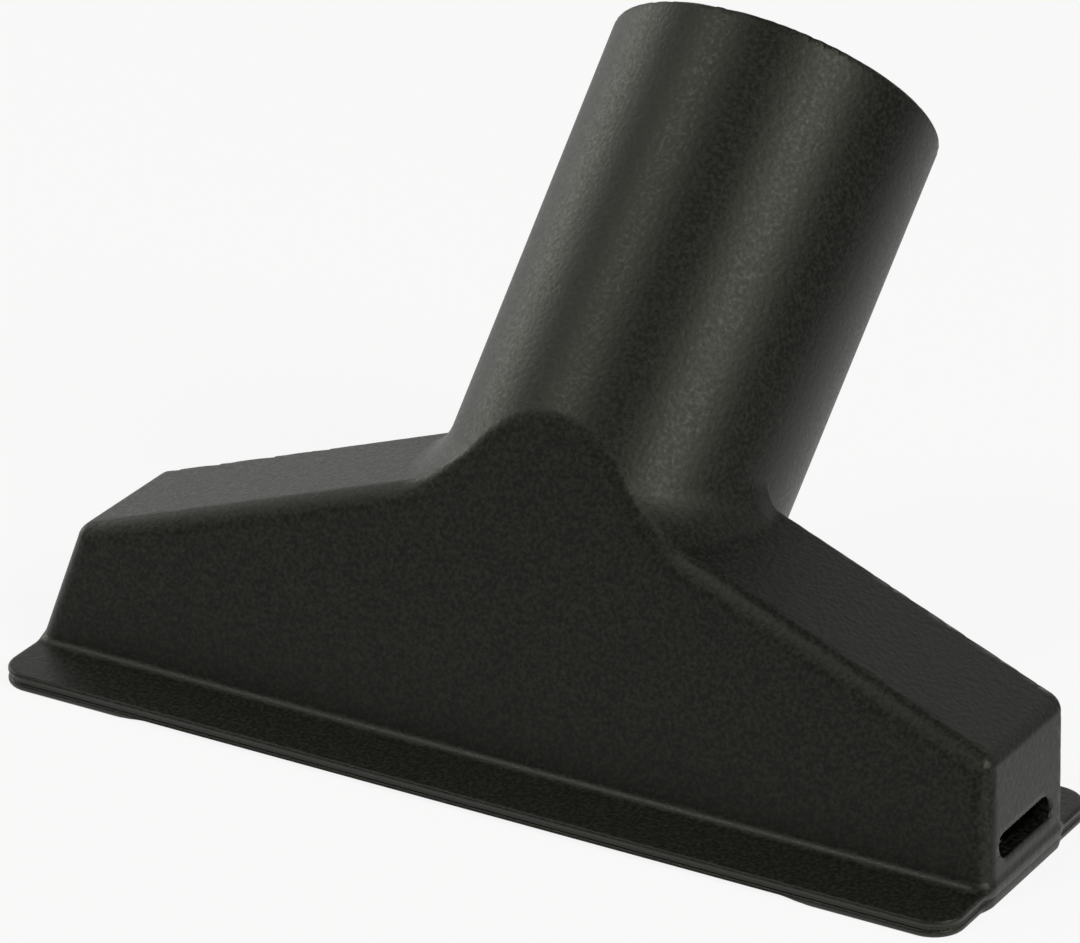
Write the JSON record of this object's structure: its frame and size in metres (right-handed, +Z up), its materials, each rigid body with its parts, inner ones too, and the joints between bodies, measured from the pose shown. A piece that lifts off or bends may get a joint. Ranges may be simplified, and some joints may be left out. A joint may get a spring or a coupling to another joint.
{
  "type": "vacuum nozzle",
  "caption": "Small upholstery nozzle for a vacuum cleaner: a low slotted hood on wide lips, a tilted pipe socket, and a lint strip in each lip.",
  "frame": {"origin": "middle of the sole, on the surface that the nozzle stands on", "axes": "+X along the sole, to the right seen from the front; +Y backwards, the way the pipe socket leans; +Z up from the sole"},
  "size_m": [0.12, 0.0847, 0.0734],
  "materials": {
    "black_moulding": "fine spark texture, semi-matt black",
    "lint_pile": "short black pile"
  },
  "bodies": {
    "root": {"nozzle_body": "black_moulding", "front_lint_strip": "lint_pile", "rear_lint_strip": "lint_pile"}
  },
  "joints": []
}
